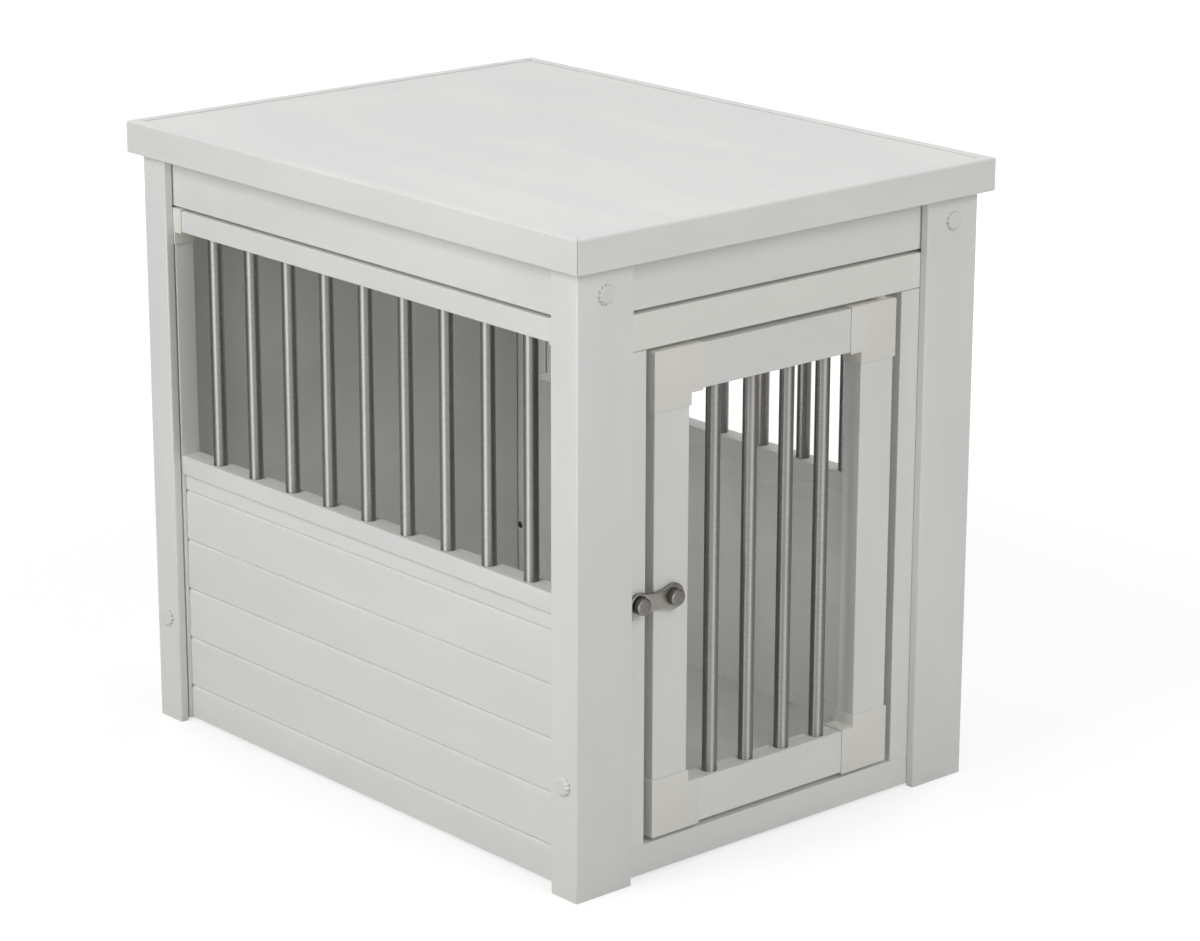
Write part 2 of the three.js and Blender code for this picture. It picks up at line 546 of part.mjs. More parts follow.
// A moulded corner: an L with a sleeve for the rail's end and one for the stile's, round a solid heel.
// sx and sz say which corner of the door it is.
function doorCorner(sx, sz) {
  const seat = sz > 0 ? DOOR_TOP : DOOR_BOTTOM;
  const place = (a, b) => [sx * (DOOR_X - a), seat - sz * b];
  const outline = cornerOutline(DOOR_ARM_WIDTH, DOOR_ARM_WIDTH, DOOR_SLEEVE_ALONG_RAIL,
    DOOR_SLEEVE_ALONG_STILE).map(([a, b]) => place(a, b).reverse());
  const corner = toSolid(prism(shapeFrom(outline), 'y', FRONT_FACE_Y - SLEEVE_WALL,
    FRONT_BACK_Y + SLEEVE_WALL));

  const wall = SLEEVE_WALL - FIT_GAP;
  const socket = (a0, a1, b0, b1) => {
    const [[x0, z0], [x1, z1]] = [place(a0, b0), place(a1, b1)];
    return block([x0, FRONT_FACE_Y - FIT_GAP, z0], [x1, FRONT_BACK_Y + FIT_GAP, z1]);
  };
  const pastRail = DOOR_ARM_WIDTH + 2 * DOOR_SLEEVE_ALONG_RAIL;
  const pastStile = DOOR_ARM_WIDTH + 2 * DOOR_SLEEVE_ALONG_STILE;
  const railSocket = socket(DOOR_ARM_WIDTH, pastRail, wall, DOOR_ARM_WIDTH - wall);
  const stileSocket = socket(wall, DOOR_ARM_WIDTH - wall, DOOR_ARM_WIDTH, pastStile);
  return cut(corner, [railSocket, stileSocket]);
}

// The pivot on a hinge corner: a collar that fills the gap and a pin into the front frame's rail
function hingePin(sz) {
  const root = -SLEEVE_WALL; // inside the corner's heel
  const collarEnd = DOOR_END_GAP - FIT_GAP;
  const pinEnd = DOOR_END_GAP + PIN_DEPTH;
  const profile = [
    [0, root], [PIN_COLLAR_RADIUS, root], [PIN_COLLAR_RADIUS, collarEnd], [PIN_RADIUS, collarEnd],
    [PIN_RADIUS, pinEnd], [0, pinEnd],
  ].map(([radius, height]) => new THREE.Vector2(radius, height));
  return toSolid(new THREE.LatheGeometry(profile, HOLE_SIDES)
    .rotateX(sz * Math.PI / 2)
    .translate(HINGE_X, DOOR_MIDDLE_Y, sz > 0 ? DOOR_TOP : DOOR_BOTTOM));
}

function addDoor() {
  const [front, back] = [FRONT_FACE_Y, FRONT_BACK_Y];
  const heel = DOOR_ARM_WIDTH + FIT_GAP; // the bars stop at the corners' solid heels
  const railEnd = DOOR_X - heel;
  for (const [name, sz] of [['top', 1], ['bottom', -1]]) {
    const outer = sz > 0 ? DOOR_BAR_TOP : DOOR_BAR_BOTTOM;
    const inner = outer - sz * DOOR_BAR_WIDTH;
    const sockets = evenRow(DOOR_SPINDLE_COUNT, DOOR_SPINDLE_REACH).map((x) => toSolid(rod('z',
      SPINDLE_RADIUS + FIT_GAP, [x, DOOR_MIDDLE_Y, inner], 2 * SPINDLE_SOCKET_DEPTH)));
    const rail = toSolid(bar('x', [-railEnd, front, outer], [railEnd, back, inner]));
    add(`door_${name}_rail`, cut(rail, sockets), 'white');
    add(`door_corner_${name}_left`, doorCorner(-1, sz), 'cream');
    add(`door_corner_${name}_right`, doorCorner(1, sz).add(hingePin(sz)), 'cream');
  }

  const stile = (side) => bar('z', [side * DOOR_BAR_X, front, DOOR_BOTTOM + heel],
    [side * (DOOR_BAR_X - DOOR_BAR_WIDTH), back, DOOR_TOP - heel]);
  add('door_latch_stile', cut(toSolid(stile(-1)), [studHole(PIVOT_X)]), 'white');
  add('door_hinge_stile', stile(1), 'white');

  const bottom = DOOR_BAR_BOTTOM + DOOR_BAR_WIDTH - SPINDLE_SOCKET_DEPTH + FIT_GAP;
  const top = DOOR_BAR_TOP - DOOR_BAR_WIDTH + SPINDLE_SOCKET_DEPTH - FIT_GAP;
  evenRow(DOOR_SPINDLE_COUNT, DOOR_SPINDLE_REACH).forEach((x, i) => {
    add(`door_spindle_${i + 1}`, rod('z', SPINDLE_RADIUS,
      [x, DOOR_MIDDLE_Y, (bottom + top) / 2], top - bottom, SPINDLE_SIDES), 'steel');
  });
}

// ---------------------------------------------------------------- latch

// Centre of the circle that touches the lever's pivot lobe and the hook's crown from above
function waistCentre() {
  const toLobe = LEVER_WAIST_RADIUS + LEVER_PIVOT_LOBE;
  const toCrown = LEVER_WAIST_RADIUS + HOOK_CROWN_RADIUS;
  const x = (toCrown ** 2 - toLobe ** 2 - STUD_SPACING ** 2) / (2 * STUD_SPACING);
  return [x, Math.sqrt(toLobe ** 2 - x ** 2)];
}

// The lever's outline about its pivot, with the hook to the left. The slot's sides and the finger are
// concentric with the pivot, so that the hook clears the stud evenly as it lifts.
function leverOutline() {
  const [reach, slot, crown] = [STUD_SPACING, HOOK_SLOT_RADIUS, HOOK_CROWN_RADIUS];
  const [waistX, waistZ] = waistCentre();
  const finger = Math.PI + THREE.MathUtils.degToRad(LEVER_FINGER_ANGLE);
  const tip = reach + (slot + crown) / 2;

  // where the lower waist meets the slot's inner side, by the cosine rule
  const [side, far] = [reach - slot, Math.hypot(waistX, waistZ)];
  const spread = Math.acos((side ** 2 + far ** 2 - LEVER_WAIST_RADIUS ** 2) / (2 * side * far));
  const towardWaist = Math.atan2(waistZ, waistX);
  const heel = 2 * Math.PI - towardWaist - spread;
  const heelStart = Math.atan2(side * Math.sin(heel) + waistZ, side * Math.cos(heel) - waistX);

  const shape = new THREE.Shape();
  shape.absarc(0, 0, LEVER_PIVOT_LOBE, -towardWaist, towardWaist, false);
  shape.absarc(waistX, waistZ, LEVER_WAIST_RADIUS, towardWaist - Math.PI,
    Math.atan2(-waistZ, -reach - waistX), true);
  shape.absarc(-reach, 0, crown, Math.atan2(waistZ, waistX + reach), Math.PI, false);
  shape.absarc(0, 0, reach + crown, Math.PI, finger, false);
  shape.absarc(tip * Math.cos(finger), tip * Math.sin(finger), HOOK_WALL / 2, finger,
    finger + Math.PI, false);
  shape.absarc(0, 0, reach + slot, finger, Math.PI, true);
  shape.absarc(-reach, 0, slot, Math.PI, 0, true);
  shape.absarc(0, 0, side, Math.PI, heel, false);
  shape.absarc(waistX, -waistZ, LEVER_WAIST_RADIUS, heelStart, Math.PI - towardWaist, true);

  const hole = new THREE.Path();
  hole.absarc(0, 0, PIVOT_NECK_RADIUS + FIT_GAP, 0, 2 * Math.PI, true);
  shape.holes.push(hole);
  return shape;
}

// A turned stud: its shank goes back into the stile, its head stands forward. Each step of the head is
// a radius at a distance in front of the stile's face.
function stud(headSteps, x) {
  const profile = [
    [0, -STUD_SHANK_DEPTH], [STUD_SHANK_RADIUS, -STUD_SHANK_DEPTH], [STUD_SHANK_RADIUS, FIT_GAP],
    ...headSteps,
  ].map(([radius, distance]) => new THREE.Vector2(radius, distance));
  return new THREE.LatheGeometry(profile, STUD_SIDES)
    .rotateX(Math.PI)
    .translate(x, FRONT_FACE_Y, LATCH_HEIGHT);
}

function addLatch() {
  const lever = new THREE.ExtrudeGeometry(leverOutline(), {
    depth: LEVER_THICKNESS, bevelEnabled: false, curveSegments: LEVER_ARC_STEPS,
  });
  lever.rotateX(Math.PI / 2).translate(PIVOT_X, FRONT_FACE_Y - LEVER_STANDOFF, LATCH_HEIGHT);
  add('latch_lever', lever, 'steel');

  const headBack = LEVER_STANDOFF + LEVER_THICKNESS + FIT_GAP;
  const headFront = headBack + STUD_PROUD;
  const head = [
    [STUD_RADIUS, headFront - STUD_CHAMFER], [STUD_RADIUS - STUD_CHAMFER, headFront], [0, headFront],
  ];
  const collarFront = LEVER_STANDOFF - FIT_GAP;
  add('latch_pivot_stud', stud([
    [PIVOT_COLLAR_RADIUS, FIT_GAP], [PIVOT_COLLAR_RADIUS, collarFront], [PIVOT_NECK_RADIUS, collarFront],
    [PIVOT_NECK_RADIUS, headBack], [STUD_RADIUS, headBack], ...head,
  ], PIVOT_X), 'steel');
  add('latch_frame_stud', stud([[STUD_RADIUS, FIT_GAP], ...head], FRAME_STUD_X), 'steel');
}

// ---------------------------------------------------------------- assembly

addTableTop();
addAprons();
addPosts();
addSidePanel('left', -1);
addSidePanel('right', 1);
addFrontFrame();
addBackWallAndFloor();
addDoor();
addLatch();

export default crate;
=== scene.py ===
import math

import bmesh
import bpy
from mathutils import Matrix, Vector


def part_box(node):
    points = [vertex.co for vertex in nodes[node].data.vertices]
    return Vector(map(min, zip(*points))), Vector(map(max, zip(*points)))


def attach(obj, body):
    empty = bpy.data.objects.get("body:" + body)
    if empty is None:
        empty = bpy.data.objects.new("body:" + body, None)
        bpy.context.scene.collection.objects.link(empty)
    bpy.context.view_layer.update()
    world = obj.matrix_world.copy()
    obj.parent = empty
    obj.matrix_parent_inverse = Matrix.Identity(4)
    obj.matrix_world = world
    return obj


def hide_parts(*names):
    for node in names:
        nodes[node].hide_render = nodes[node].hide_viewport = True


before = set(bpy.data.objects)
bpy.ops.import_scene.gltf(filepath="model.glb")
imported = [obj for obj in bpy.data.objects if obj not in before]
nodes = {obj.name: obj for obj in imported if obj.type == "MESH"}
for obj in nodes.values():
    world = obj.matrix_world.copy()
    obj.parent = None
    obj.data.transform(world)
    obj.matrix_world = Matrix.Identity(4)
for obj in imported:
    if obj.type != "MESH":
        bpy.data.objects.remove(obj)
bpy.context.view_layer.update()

scene = bpy.context.scene

# ---------------------------------------------------------------- the view
# The crate is seen from its front left corner, from a little above the table top, with a long lens
# whose frame is just filled by it.
LENS = 111.8  # millimetres, on a sensor 36 mm wide
VIEW_PLACE = (-2.0642, -2.4134, 1.2203)
VIEW_HEADING = 41.31  # degrees from +Y towards +X
VIEW_DIP = 16.86
VIEW_ROLL = 0.14

camera = bpy.data.objects.new("view", bpy.data.cameras.new("view"))
camera.data.lens = LENS
camera.data.sensor_width = 36.0
camera.data.clip_end = 60.0
camera.matrix_world = (
    Matrix.Translation(VIEW_PLACE)
    @ Matrix.Rotation(-math.radians(VIEW_HEADING), 4, "Z")
    @ Matrix.Rotation(math.pi / 2 - math.radians(VIEW_DIP), 4, "X")
    @ Matrix.Rotation(math.radians(VIEW_ROLL), 4, "Z")
)
scene.collection.objects.link(camera)
scene.camera = camera
scene.view_settings.view_transform = "Standard"

# ---------------------------------------------------------------- the studio
# A white sweep under even light. The floor shows white and keeps the crate's soft shadow. A tall
# soft box stands on each side, the left one the strongest. What metal mirrors is set apart from
# them: two low strip lights make its highlights, and two black flags its dark edges.
DAYLIGHT = 0.35
DAYLIGHT_TINT = (0.99, 0.992, 1.0, 1.0)
PURE_WHITE = (1.0, 1.0, 1.0, 1.0)
FLOOR_WIDTH = 30.0
FLOOR_BOUNCE = (0.50, 0.497, 0.478, 1.0)
FLOOR_TONE = (0.45, 0.45, 0.45, 1.0)
GLOW_NEAR = 0.61  # within the first radius, where the lamps add to it
GLOW_FAR = 0.92
GLOW_RADII = (0.7, 2.2)
SOFT_BOXES = {  # place, watts, width and height
    "left_box": ((-2.06, -0.1, 1.45), 26.0, 0.8, 1.4),
    "front_box": ((0.0, -2.07, 1.45), 17.5, 0.8, 1.4),
    "right_box": ((2.07, 0.1, 1.45), 16.0, 0.8, 1.4),
    "rear_box": ((0.0, 2.07, 1.45), 12.0, 0.8, 1.4),
}
STRIPS = {  # the same
    "left_strip": ((-2.10, -0.25, 0.27), 22.0, 1.3, 0.5),
    "front_strip": ((-0.18, -2.10, 0.27), 9.0, 1.0, 0.5),
}
LAMP_AIM = Vector((0.0, 0.0, 0.3))
FLAG_PLACES = {"rear_flag": (-0.85, 1.0), "front_flag": (0.95, -0.95)}
FLAG_WIDTH = 1.1
FLAG_HEIGHT = 1.5
FLAG_BLACK = (0.02, 0.02, 0.02, 1.0)


def shader_node(material_tree, kind, inputs=None, **settings):
    """One shader node. Of its inputs, sockets are linked and plain values are set."""
    made = material_tree.nodes.new("ShaderNode" + kind)
    for key, value in settings.items():
        setattr(made, key, value)
    for key, value in (inputs or {}).items():
        if isinstance(value, bpy.types.NodeSocket):
            material_tree.links.new(value, made.inputs[key])
        else:
            made.inputs[key].default_value = value
    return made


def seen_directly(shader_tree):
    """1 for rays that show the surroundings: to the camera, in a mirror or through glass."""
    path = shader_node(shader_tree, "LightPath")
    mirrored = shader_node(shader_tree, "Math", {
        0: path.outputs["Is Glossy Ray"], 1: path.outputs["Is Transmission Ray"],
    }, operation="MAXIMUM")
    shown = shader_node(shader_tree, "Math", {
        0: path.outputs["Is Camera Ray"], 1: mirrored.outputs[0],
    }, operation="MAXIMUM")
    return shown.outputs[0]


def studio_sheet(name, width, height, segments, paint):
    """A flat sheet about the origin, facing up."""
    mesh = bmesh.new()
    bmesh.ops.create_grid(mesh, x_segments=segments, y_segments=segments, size=0.5)
    bmesh.ops.scale(mesh, vec=(width, height, 1.0), verts=mesh.verts)
    data = bpy.data.meshes.new(name)
    mesh.to_mesh(data)
    mesh.free()
    data.materials.append(paint)
    made = bpy.data.objects.new(name, data)
    scene.collection.objects.link(made)
    return made


world = bpy.data.worlds.new("studio")
world.use_nodes = True
sky = world.node_tree
sky.nodes.clear()
soft_light = shader_node(sky, "Background", {"Color": DAYLIGHT_TINT, "Strength": DAYLIGHT})
white_wall = shader_node(sky, "Background", {"Color": PURE_WHITE, "Strength": 1.0})
sky_mix = shader_node(sky, "MixShader", {
    0: seen_directly(sky), 1: soft_light.outputs[0], 2: white_wall.outputs[0]})
shader_node(sky, "OutputWorld", {"Surface": sky_mix.outputs[0]})
scene.world = world

floor_paint = bpy.data.materials.new("studio_floor")
floor_paint.use_nodes = True
ground = floor_paint.node_tree
ground.nodes.clear()
bounce = shader_node(ground, "BsdfDiffuse", {"Color": FLOOR_BOUNCE})
shadow_catch = shader_node(ground, "BsdfDiffuse", {"Color": FLOOR_TONE})
spot = shader_node(ground, "TexCoord").outputs["Object"]
distance = shader_node(ground, "VectorMath", {0: spot}, operation="LENGTH").outputs["Value"]
fade = shader_node(ground, "MapRange", {
    "Value": distance, "From Min": GLOW_RADII[0], "From Max": GLOW_RADII[1],
    "To Min": GLOW_NEAR, "To Max": GLOW_FAR,
}, interpolation_type="SMOOTHSTEP").outputs["Result"]
glow = shader_node(ground, "Emission", {"Color": PURE_WHITE, "Strength": fade})
bright = shader_node(ground, "AddShader", {0: shadow_catch.outputs[0], 1: glow.outputs[0]})
floor_mix = shader_node(ground, "MixShader", {
    0: seen_directly(ground), 1: bounce.outputs[0], 2: bright.outputs[0]})
shader_node(ground, "OutputMaterial", {"Surface": floor_mix.outputs[0]})
studio_sheet("floor", FLOOR_WIDTH, FLOOR_WIDTH, 8, floor_paint)

for lamps, lights_surfaces in ((SOFT_BOXES, True), (STRIPS, False)):
    for lamp_name, (lamp_place, watts, lamp_width, lamp_height) in lamps.items():
        lamp = bpy.data.objects.new(lamp_name, bpy.data.lights.new(lamp_name, "AREA"))
        lamp.data.shape = "RECTANGLE"
        lamp.data.energy = watts
        lamp.data.size = lamp_width
        lamp.data.size_y = lamp_height
        lamp.location = lamp_place
        lamp.rotation_euler = (LAMP_AIM - lamp.location).to_track_quat("-Z", "Y").to_euler()
        lamp.visible_camera = False
        lamp.visible_diffuse = lights_surfaces
        lamp.visible_glossy = not lights_surfaces
        scene.collection.objects.link(lamp)

black_cloth = bpy.data.materials.new("black_cloth")
black_cloth.use_nodes = True
cloth_surface = black_cloth.node_tree.nodes["Principled BSDF"]
cloth_surface.inputs["Base Color"].default_value = FLAG_BLACK
for flag_name, (flag_x, flag_y) in FLAG_PLACES.items():
    flag = studio_sheet(flag_name, FLAG_WIDTH, FLAG_HEIGHT, 1, black_cloth)
    flag.location = (flag_x, flag_y, FLAG_HEIGHT / 2)
    flag.rotation_euler = Vector((flag_x, flag_y, 0.0)).to_track_quat("Z", "Y").to_euler()
    flag.visible_camera = flag.visible_diffuse = flag.visible_shadow = False

# ---------------------------------------------------------------- table top
# Four mitred rim boards lie on the posts, and a loose panel lies in their rebate. All are sawn from
# an off-white composite of wood fibre and polymer, with a smooth satin skin and a faint grain along
# every board.
COMPOSITE_WHITE = (0.775, 0.785, 0.752, 1.0)
COMPOSITE_COOL = (0.735, 0.742, 0.730, 1.0)
COMPOSITE_PALE = (0.800, 0.806, 0.785, 1.0)
COMPOSITE_FLECK = (0.60, 0.60, 0.56, 1.0)
STREAKS = (820.0, 16.0)  # features to the metre, across the grain and along it
CLOUDS = (16.0, 5.0)
FLECKS = (1500.0, 180.0)
STREAK_RANGE = (0.35, 0.75)  # of the noise, from where the tone starts to change to its full share
CLOUD_RANGE = (0.34, 0.66)
FLECK_RANGE = (0.70, 0.80)
STREAK_SHARE = 0.22
FLECK_SHARE = 0.18
# Painted highlight: the base colour is made lighter along sharp edges, in this share and over this
# width.
EDGE_HIGHLIGHT_SHARE = 0.2
EDGE_HIGHLIGHT_WIDTH = 0.0014
GRAIN_RELIEF = 0.00012
SHEEN_OF_STREAKS = (0.3, 0.7)
GRAIN_STRENGTH = 0.35
COMPOSITE_ROUGHNESS = (0.40, 0.56)
COMPOSITE_SPECULAR = 0.45
CHANCE_STEP = (7.3, 3.1, 5.9)
FLAT_AND_EDGE = (0.995, 0.80)  # how far the rounded normal agrees with the true one on each


def own_place(material_tree):
    """The surface's place on its own piece, moved by a random step so that no two boards match."""
    place = shader_node(material_tree, "TexCoord").outputs["Object"]
    chance = shader_node(material_tree, "ObjectInfo").outputs["Random"]
    step = shader_node(material_tree, "VectorMath", {0: CHANCE_STEP, 1: chance},
                       operation="MULTIPLY").outputs[0]
    return shader_node(material_tree, "VectorMath", {0: place, 1: step},
                       operation="ADD").outputs[0]


def new_material(name):
    """A material with its shader tree, its surface shader and the surface's own place."""
    made = bpy.data.materials.new(name)
    made.use_nodes = True
    skin = made.node_tree
    return made, skin, skin.nodes["Principled BSDF"], own_place(skin)


def noise(material_tree, place, stretch, detail=3.0, roughness=0.55):
    """Smooth noise with so many features to the metre along each axis."""
    spread = shader_node(material_tree, "VectorMath", {0: place, 1: stretch}, operation="MULTIPLY")
    return shader_node(material_tree, "TexNoise", {
        "Vector": spread.outputs[0], "Scale": 1.0, "Detail": detail, "Roughness": roughness,
    }).outputs["Fac"]


def grain_stretch(along, counts):
    """Features to the metre on each axis, from the counts across the grain and along it."""
    across, lengthwise = counts
    return [lengthwise if axis == along else across for axis in range(3)]


def remap(material_tree, value, low, high, to_low=0.0, to_high=1.0):
    """The value, moved from the range low to high into another; it stays within that one."""
    return shader_node(material_tree, "MapRange", {
        "Value": value, "From Min": low, "From Max": high, "To Min": to_low, "To Max": to_high,
    }).outputs["Result"]


def blend(material_tree, share, first, second):
    """The second colour over the first, in the given share. Each can be a socket or a value."""
    mixed = shader_node(material_tree, "Mix", data_type="RGBA")
    for index, value in ((0, share), (6, first), (7, second)):
        if isinstance(value, bpy.types.NodeSocket):
            material_tree.links.new(value, mixed.inputs[index])
        else:
            mixed.inputs[index].default_value = value
    return mixed.outputs[2]


def edge_share(material_tree, width):
    """How close the surface is to a sharp edge, from 0 to 1."""
    rounded = shader_node(material_tree, "Bevel", {"Radius": width}, samples=4).outputs[0]
    straight = shader_node(material_tree, "NewGeometry").outputs["True Normal"]
    agreement = shader_node(material_tree, "VectorMath", {0: rounded, 1: straight},
                            operation="DOT_PRODUCT").outputs["Value"]
    return remap(material_tree, agreement, *FLAT_AND_EDGE)


def composite(name, along, white=COMPOSITE_WHITE, cool=COMPOSITE_COOL):
    """Off-white fibre composite with its grain along one axis: 0, 1 or 2, and a painted highlight
    that lightens its sharp edges.
    """
    made, skin, surface, place = new_material(name)
    streaks = noise(skin, place, grain_stretch(along, STREAKS), detail=4.0)
    clouds = noise(skin, place, grain_stretch(along, CLOUDS), detail=2.0)
    specks = noise(skin, place, grain_stretch(along, FLECKS), detail=1.0)
    flecks = remap(skin, specks, *FLECK_RANGE)

    tone = blend(skin, remap(skin, clouds, *CLOUD_RANGE), white, cool)
    streaked = remap(skin, streaks, *STREAK_RANGE, 0.0, STREAK_SHARE)
    tone = blend(skin, streaked, tone, COMPOSITE_PALE)
    tone = blend(skin, remap(skin, flecks, 0.0, 1.0, 0.0, FLECK_SHARE), tone, COMPOSITE_FLECK)
    # Painted highlight: a lighter base colour along the sharp edges, where light catches the
    # rounding.
    painted_edge_highlight = remap(skin, edge_share(skin, EDGE_HIGHLIGHT_WIDTH), 0.0, 1.0, 0.0, EDGE_HIGHLIGHT_SHARE)
    skin.links.new(blend(skin, painted_edge_highlight, tone, COMPOSITE_PALE), surface.inputs["Base Color"])
    sheen = remap(skin, streaks, *SHEEN_OF_STREAKS, *COMPOSITE_ROUGHNESS)
    skin.links.new(sheen, surface.inputs["Roughness"])

    pitted = shader_node(skin, "Math", {0: streaks, 1: flecks}, operation="SUBTRACT")
    relief = shader_node(skin, "Bump", {
        "Height": pitted.outputs[0], "Strength": GRAIN_STRENGTH, "Distance": GRAIN_RELIEF})
    skin.links.new(relief.outputs[0], surface.inputs["Normal"])
    surface.inputs["Specular IOR Level"].default_value = COMPOSITE_SPECULAR
    return made


grain_along_x = composite("composite_grain_x", 0)
grain_along_y = composite("composite_grain_y", 1)
grain_upright = composite("composite_grain_z", 2)


def dress(finish, *names):
    """The finish on the solids that already have their real shape."""
    for name in names:
        nodes[name].data.materials.clear()
        nodes[name].data.materials.append(finish)


dress(grain_along_x, "rim_front", "rim_back")
dress(grain_along_y, "rim_left", "rim_right", "top_panel")

# ---------------------------------------------------------------- aprons
# Four boards of the same composite close the gap between the posts under the top. They are set back
# behind the posts' legs, and the front and back ones are bolted to them.
dress(grain_along_x, "apron_front", "apron_back")
dress(grain_along_y, "apron_left", "apron_right")

# ---------------------------------------------------------------- corner posts
# Each post is an extruded angle of the composite, 8 mm thick, with its edges slightly rounded. It
# stands on the floor and carries the rim; its two legs cover the ends of the wall panels.
MM = 0.001
POST_X = 226.0
POST_Y = 294.0
POST_FRONT_LEG = 60.0
POST_SIDE_LEG = 32.0
POST_LEG_THICKNESS = 8.0
POST_HEIGHT = 529.7
POST_EDGE = 1.5
POST_HOLLOW_EDGE = 0.6
POST_END_EDGE = 0.4
EDGE_ROUNDNESS = 0.6
SHARP_ANGLE = 35.0  # degrees between faces, from which an edge is drawn sharp


def in_plan(u, v, w):
    """An outline drawn from above, drawn out upwards."""
    return (u, v, w)


def in_side_view(u, v, w):
    """An outline drawn in (y, z), drawn out to the right."""
    return (w, u, v)


def in_front_view(u, v, w):
    """An outline drawn in (x, z), drawn out to the back."""
    return (u, w, v)


def eased(corners, radius, steps=5):
    """The outline with its corners rounded. A corner's third number is its own radius."""
    outline = []
    for index, corner in enumerate(corners):
        here = Vector(corner[:2])
        own = corner[2] if len(corner) > 2 else radius
        if own == 0:
            outline.append(tuple(here))
            continue
        back = (Vector(corners[index - 1][:2]) - here).normalized()
        onward = (Vector(corners[(index + 1) % len(corners)][:2]) - here).normalized()
        half = back.angle(onward) / 2
        centre = here + (back + onward).normalized() * (own / math.sin(half))
        first = here + back * (own / math.tan(half)) - centre
        last = here + onward * (own / math.tan(half)) - centre
        for step in range(steps + 1):
            arm = first.lerp(last, step / steps).normalized() * own
            outline.append(tuple(centre + arm))
    return outline


def drawn_out(outline, low, high, place, end_edge=0.0):
    """A bar with this outline. end_edge rounds the edges of its two ends."""
    mesh = bmesh.new()
    ends = [[mesh.verts.new(place(u, v, w)) for u, v in outline] for w in (low, high)]
    for index in range(len(outline)):
        after = (index + 1) % len(outline)
        mesh.faces.new((ends[0][index], ends[0][after], ends[1][after], ends[1][index]))
    caps = [mesh.faces.new(end) for end in ends]
    bmesh.ops.recalc_face_normals(mesh, faces=mesh.faces)
    if end_edge:
        rims = [edge for cap in caps for edge in cap.edges]
        bmesh.ops.bevel(mesh, geom=rims, offset=end_edge, segments=2, profile=EDGE_ROUNDNESS,
                        affect="EDGES")
    return mesh


def box_mesh(corner, opposite):
    """A plain block between two corners, for cutting."""
    (x0, y0, z0), (x1, y1, z1) = corner, opposite
    return drawn_out([(x0, y0), (x1, y0), (x1, y1), (x0, y1)], z0, z1, in_plan)


def piece(name, mesh, finish, slot, body, *replaced):
    """A finished piece from a mesh in millimetres, riding on a body."""
    bmesh.ops.scale(mesh, vec=(MM, MM, MM), verts=mesh.verts)
    data = bpy.data.meshes.new(name)
    mesh.to_mesh(data)
    mesh.free()
    data.shade_smooth()
    data.set_sharp_from_angle(angle=math.radians(SHARP_ANGLE))
    data.materials.append(finish)
    made = bpy.data.objects.new(name, data)
    scene.collection.objects.link(made)
    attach(made, body)
    if replaced:
        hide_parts(*replaced)


CORNERS = [
    ("front_left", -1, -1), ("front_right", 1, -1), ("back_left", -1, 1), ("back_right", 1, 1),
]
for corner_name, sx, sy in CORNERS:
    leg_edge_x = POST_X - POST_FRONT_LEG
    leg_edge_y = POST_Y - POST_SIDE_LEG
    inner_x = POST_X - POST_LEG_THICKNESS
    inner_y = POST_Y - POST_LEG_THICKNESS
    section = [
        (POST_X, POST_Y), (leg_edge_x, POST_Y), (leg_edge_x, inner_y, POST_HOLLOW_EDGE),
        (inner_x, inner_y, 0), (inner_x, leg_edge_y, POST_HOLLOW_EDGE), (POST_X, leg_edge_y),
    ]
    section = [(sx * x, sy * y, *own) for x, y, *own in section]
    angle = drawn_out(eased(section, POST_EDGE), 0.0, POST_HEIGHT, in_plan, end_edge=POST_END_EDGE)
    piece(f"angle_{corner_name}", angle, grain_upright, "white_composite", "frame",
          f"post_{corner_name}")

# ---------------------------------------------------------------- bolts
# The crate is put together by hand: eight bolts with moulded, fluted heads, two in each post, clamp
# the posts to the aprons and to the side panels. Inside, the steel end of each bolt shows in a
# moulded ring that is pressed into the wall.
PLASTIC_CREAM = (0.765, 0.748, 0.700, 1.0)
PLASTIC_BOLT = (0.720, 0.708, 0.675, 1.0)
PLASTIC_PALE = (0.820, 0.808, 0.775, 1.0)
PALE_SHARE = 0.25
PLASTIC_ROUGHNESS = (0.46, 0.56)
MOULD_GRAIN = (2600.0, 2600.0, 2600.0)  # features to the metre
MOULD_FLOW = (28.0, 28.0, 28.0)
FLOW_RANGE = (0.3, 0.7)
MOULD_RELIEF = 0.00006
MOULD_STRENGTH = 0.3
PLASTIC_SPECULAR = 0.4
BOLT_PROFILE = [  # radius, and height over the wood
    (8.3, -0.6), (8.5, 0.25), (8.5, 1.7), (8.3, 2.35), (7.9, 2.85), (7.2, 3.2), (6.3, 3.42),
    (5.2, 3.5), (4.2, 3.45), (3.4, 3.3), (2.0, 3.22), (0.6, 3.2),
]
BOLT_RADIUS = 8.5
BOLT_FLUTES = 12
FLUTE_DEPTH = 1.5
FLUTE_SHAPE = 1.6  # above 1 the flutes are narrower than the ridges
APRON_BOLT_X = 196.0
APRON_BOLT_Z = 508.0
SIDE_BOLT_Y = 278.0
SIDE_BOLT_Z = 99.0
APRON_INNER_Y = 272.5
STILE_INNER_X = 196.4
RING_PROFILE = [(6.2, -0.5), (6.2, 0.6), (5.9, 0.9), (4.3, 0.9), (3.9, 0.5), (3.9, -2.0)]
BOLT_END_PROFILE = [(3.4, -2.5), (3.4, -0.2), (3.0, 0.2)]


